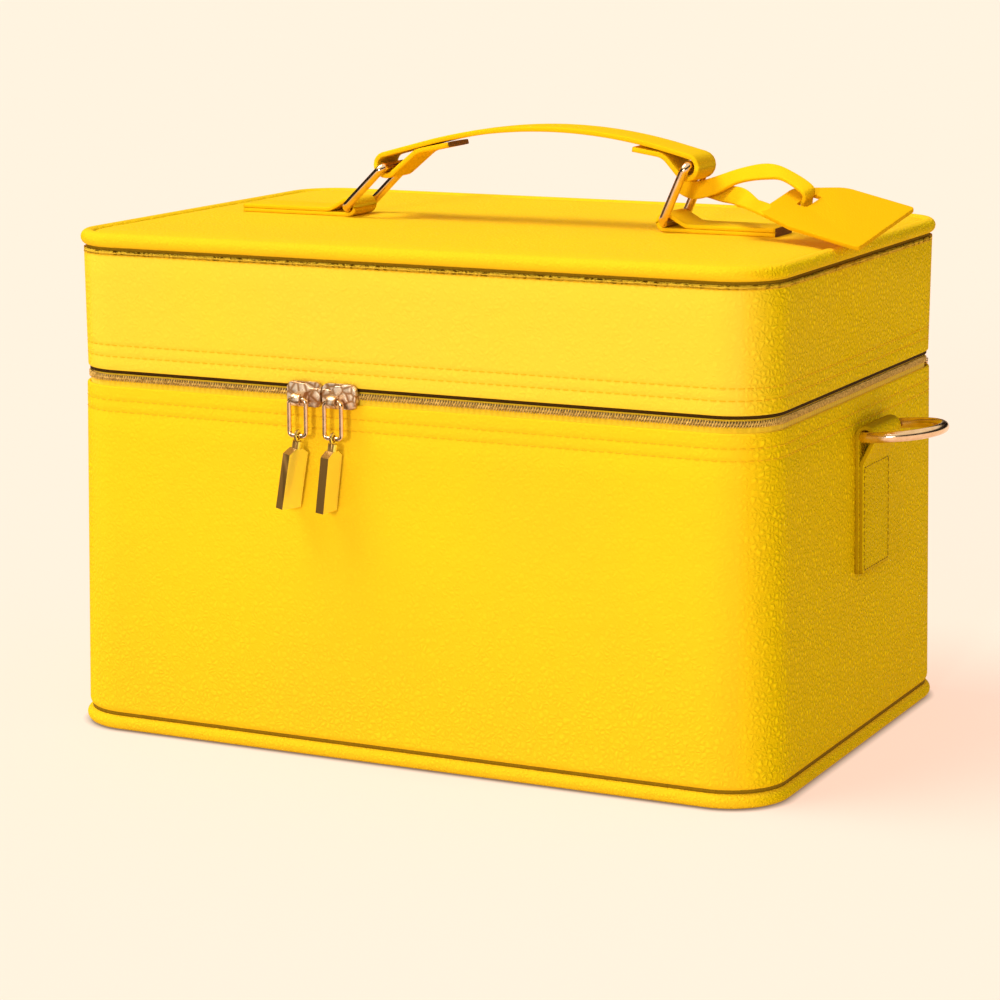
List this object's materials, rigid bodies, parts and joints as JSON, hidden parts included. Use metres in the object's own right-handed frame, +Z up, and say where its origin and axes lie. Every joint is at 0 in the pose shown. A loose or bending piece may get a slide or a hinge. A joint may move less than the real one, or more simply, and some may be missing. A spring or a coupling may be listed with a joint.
{
  "type": "makeup train case",
  "caption": "Boxy leather makeup case with a zipped hinged lid, strap handle on wire rings, luggage tag, side D-rings and padded dividers inside.",
  "frame": {"origin": "on the floor, under the middle of the box", "axes": "+X to the right along the front, +Y from the front to the back hinge, +Z up"},
  "size_m": [0.3588, 0.2191, 0.2381],
  "materials": {
    "leather": "pebbled yellow coated leather",
    "board": "grey-brown stiffening board",
    "padding": "thin foam interlining",
    "lining": "woven lining cloth",
    "zip_tape": "woven yellow zip tape",
    "zip_teeth": "tan coil zip teeth",
    "gold_metal": "polished rose-gold plating"
  },
  "bodies": {
    "case": {"lower_cover": "leather", "lower_padding": "padding", "lower_board": "board", "lower_lining": "lining", "base_piping": "leather", "base_cover": "leather", "base_board": "board", "zip_tape_lower": "zip_tape", "zip_teeth_lower": "zip_teeth", "zip_end_stops": "gold_metal", "hinge_strip_lower": "leather", "side_tab_left": "leather", "side_tab_right": "leather", "long_divider": "lining"},
    "lid": {"lid_cover": "leather", "lid_padding": "padding", "lid_board": "board", "lid_lining": "lining", "lid_piping": "leather", "lid_top_cover": "leather", "lid_top_board": "board", "zip_tape_upper": "zip_tape", "zip_teeth_upper": "zip_teeth", "hinge_strip_upper": "leather", "handle_tab_left": "leather", "handle_tab_right": "leather"},
    "slider_left": {"slider_left": "gold_metal"},
    "slider_right": {"slider_right": "gold_metal"},
    "pull_link_left": {"pull_link_left": "gold_metal"},
    "pull_link_right": {"pull_link_right": "gold_metal"},
    "pull_tag_left": {"pull_tag_left": "gold_metal"},
    "pull_tag_right": {"pull_tag_right": "gold_metal"},
    "ring_left": {"handle_ring_left": "gold_metal"},
    "ring_right": {"handle_ring_right": "gold_metal", "tag_strap_wrap": "leather"},
    "handle": {"handle_strap": "leather"},
    "tag_strap": {"tag_strap_upper": "leather", "tag_strap_lower": "leather"},
    "luggage_tag": {"luggage_tag": "leather"},
    "side_ring_left": {"side_ring_left": "gold_metal"},
    "side_ring_right": {"side_ring_right": "gold_metal"},
    "front_divider_left": {"front_divider_left": "lining"},
    "front_divider_right": {"front_divider_right": "lining"},
    "rear_divider": {"rear_divider": "lining"}
  },
  "joints": [
    {"name": "lid_hinge", "type": "hinge", "parent": "case", "child": "lid", "pos_m": [0, 0.10109, 0.1416], "axis": [-1, 0, 0], "range_deg": [0, 105]},
    {"name": "slider_left_slide", "type": "slide", "parent": "case", "child": "slider_left", "axis": [-1, 0, 0], "range_m": [0, 0.0797]},
    {"name": "slider_right_slide", "type": "slide", "parent": "case", "child": "slider_right", "axis": [1, 0, 0], "range_m": [0, 0.1427]},
    {"name": "pull_link_left_swing", "type": "hinge", "parent": "slider_left", "child": "pull_link_left", "pos_m": [-0.0391, -0.10849, 0.1406], "axis": [-1, 0, 0], "range_deg": [0, 100]},
    {"name": "pull_link_right_swing", "type": "hinge", "parent": "slider_right", "child": "pull_link_right", "pos_m": [-0.0239, -0.10849, 0.1406], "axis": [-1, 0, 0], "range_deg": [0, 100]},
    {"name": "pull_tag_left_swing", "type": "hinge", "parent": "pull_link_left", "child": "pull_tag_left", "pos_m": [-0.0391, -0.10849, 0.1266], "axis": [-1, 0, 0], "range_deg": [0, 80]},
    {"name": "pull_tag_right_swing", "type": "hinge", "parent": "pull_link_right", "child": "pull_tag_right", "pos_m": [-0.0239, -0.10849, 0.1266], "axis": [-1, 0, 0], "range_deg": [0, 80]},
    {"name": "handle_swing", "type": "hinge", "parent": "lid", "child": "ring_left", "pos_m": [-0.0705, 0, 0.2028], "axis": [0, 1, 0], "range_deg": [-69.1, 0]},
    {"name": "handle_right_ring", "type": "hinge", "parent": "lid", "child": "ring_right", "pos_m": [0.069, 0, 0.2028], "axis": [0, 1, 0], "range_deg": [-69.1, 0]},
    {"name": "handle_on_ring", "type": "hinge", "parent": "ring_left", "child": "handle", "pos_m": [-0.05324, 0, 0.21976], "axis": [0, 1, 0], "range_deg": [0, 74.16]},
    {"name": "tag_strap_turn", "type": "hinge", "parent": "ring_right", "child": "tag_strap", "pos_m": [0.07388, 0.0115, 0.21398], "axis": [0, 1, 0], "range_deg": [0, 65.45]},
    {"name": "luggage_tag_lift", "type": "hinge", "parent": "tag_strap", "child": "luggage_tag", "pos_m": [0.12632, -0.00921, 0.21274], "axis": [-0.2594, -0.9147, -0.3098], "range_deg": [0, 16]},
    {"name": "side_ring_left_swing", "type": "hinge", "parent": "case", "child": "side_ring_left", "pos_m": [-0.15192, 0.008, 0.1243], "axis": [0, 1, 0], "range_deg": [-84, 75]},
    {"name": "side_ring_right_swing", "type": "hinge", "parent": "case", "child": "side_ring_right", "pos_m": [0.15192, 0.008, 0.1243], "axis": [0, -1, 0], "range_deg": [-84, 75]},
    {"name": "front_divider_left_shift", "type": "slide", "parent": "case", "child": "front_divider_left", "axis": [1, 0, 0], "range_m": [-0.03, 0.03]},
    {"name": "front_divider_right_shift", "type": "slide", "parent": "case", "child": "front_divider_right", "axis": [1, 0, 0], "range_m": [-0.03, 0.03]},
    {"name": "rear_divider_shift", "type": "slide", "parent": "case", "child": "rear_divider", "axis": [1, 0, 0], "range_m": [-0.04, 0.04]}
  ],
  "couplings": [
    {"joint": "handle_right_ring", "follows": "handle_swing", "ratio": 1},
    {"joint": "handle_on_ring", "follows": "handle_swing", "ratio": -1.066},
    {"joint": "tag_strap_turn", "follows": "handle_swing", "ratio": -0.94}
  ]
}
